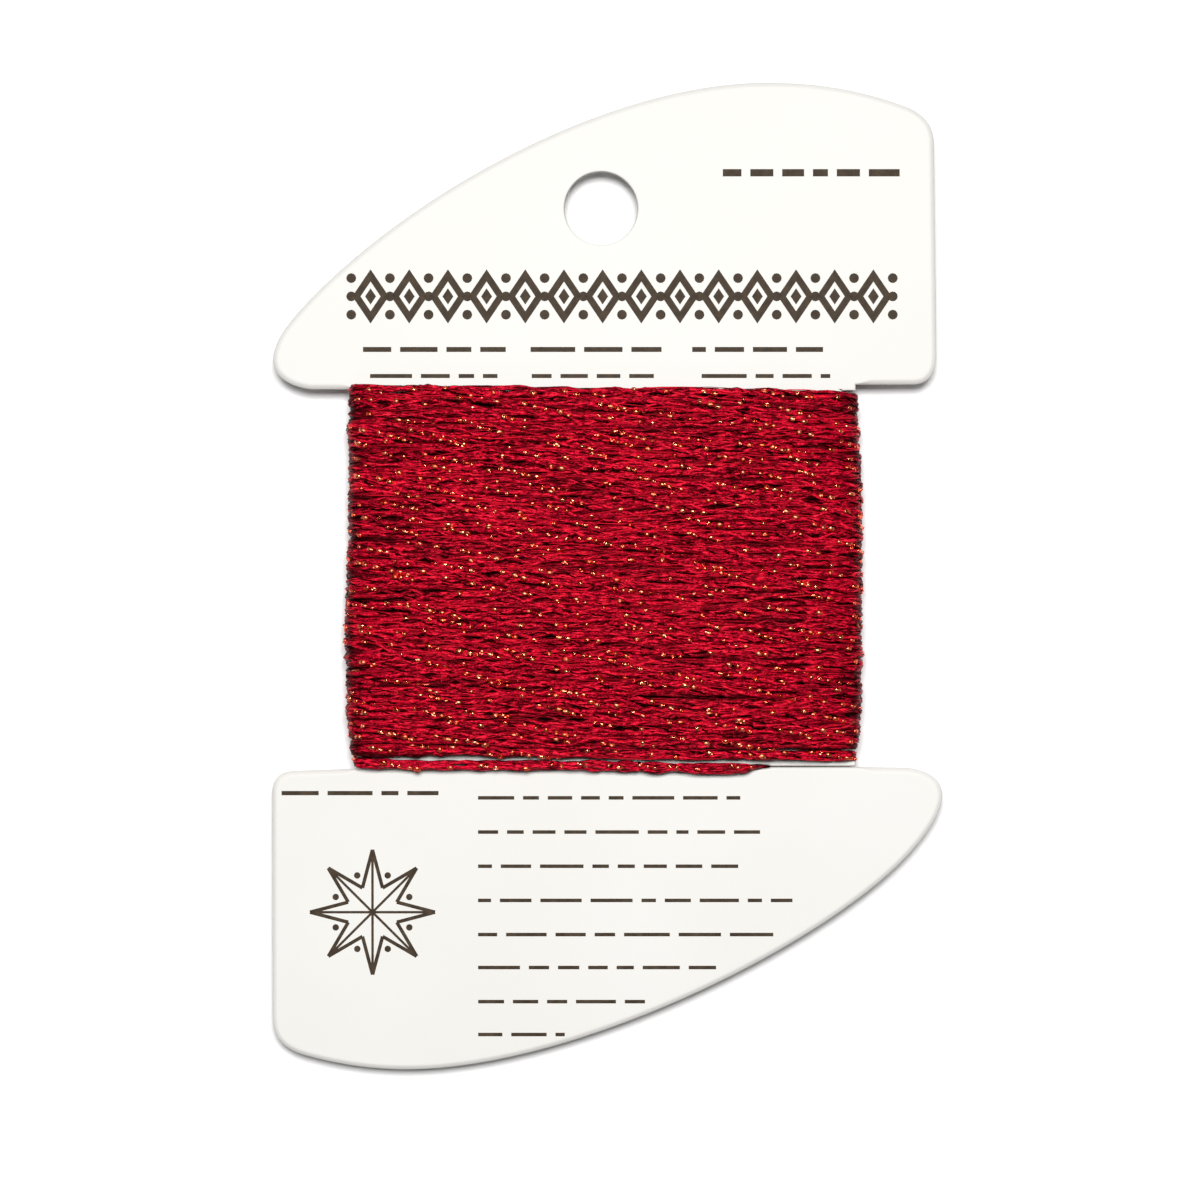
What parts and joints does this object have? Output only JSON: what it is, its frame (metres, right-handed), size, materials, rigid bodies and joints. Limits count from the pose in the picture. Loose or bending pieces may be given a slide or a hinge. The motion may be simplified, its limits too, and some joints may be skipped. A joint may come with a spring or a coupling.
{
  "type": "card of metallic braid",
  "caption": "Die-cut board card with two swept wings and a hang hole, its neck wound with red silk and metallic braid whose end is tucked into a slit.",
  "frame": {"origin": "middle of the bounding box in plan, on the surface that the winding's flat underside lies on", "axes": "+Z out of the card's face, +Y along the card towards the wing with the hang hole, +X to the right of the face"},
  "size_m": [0.0568, 0.0838, 0.0051],
  "materials": {
    "coated_board": "white board with a smooth satin coating, its cut edges slightly greyer",
    "metallic_braid": "crimson silk and rayon plies with a fine glinting orange-red metal film ribbon"
  },
  "bodies": {
    "root": {"card": "coated_board", "winding": "metallic_braid", "braid_end": "metallic_braid"}
  },
  "joints": []
}
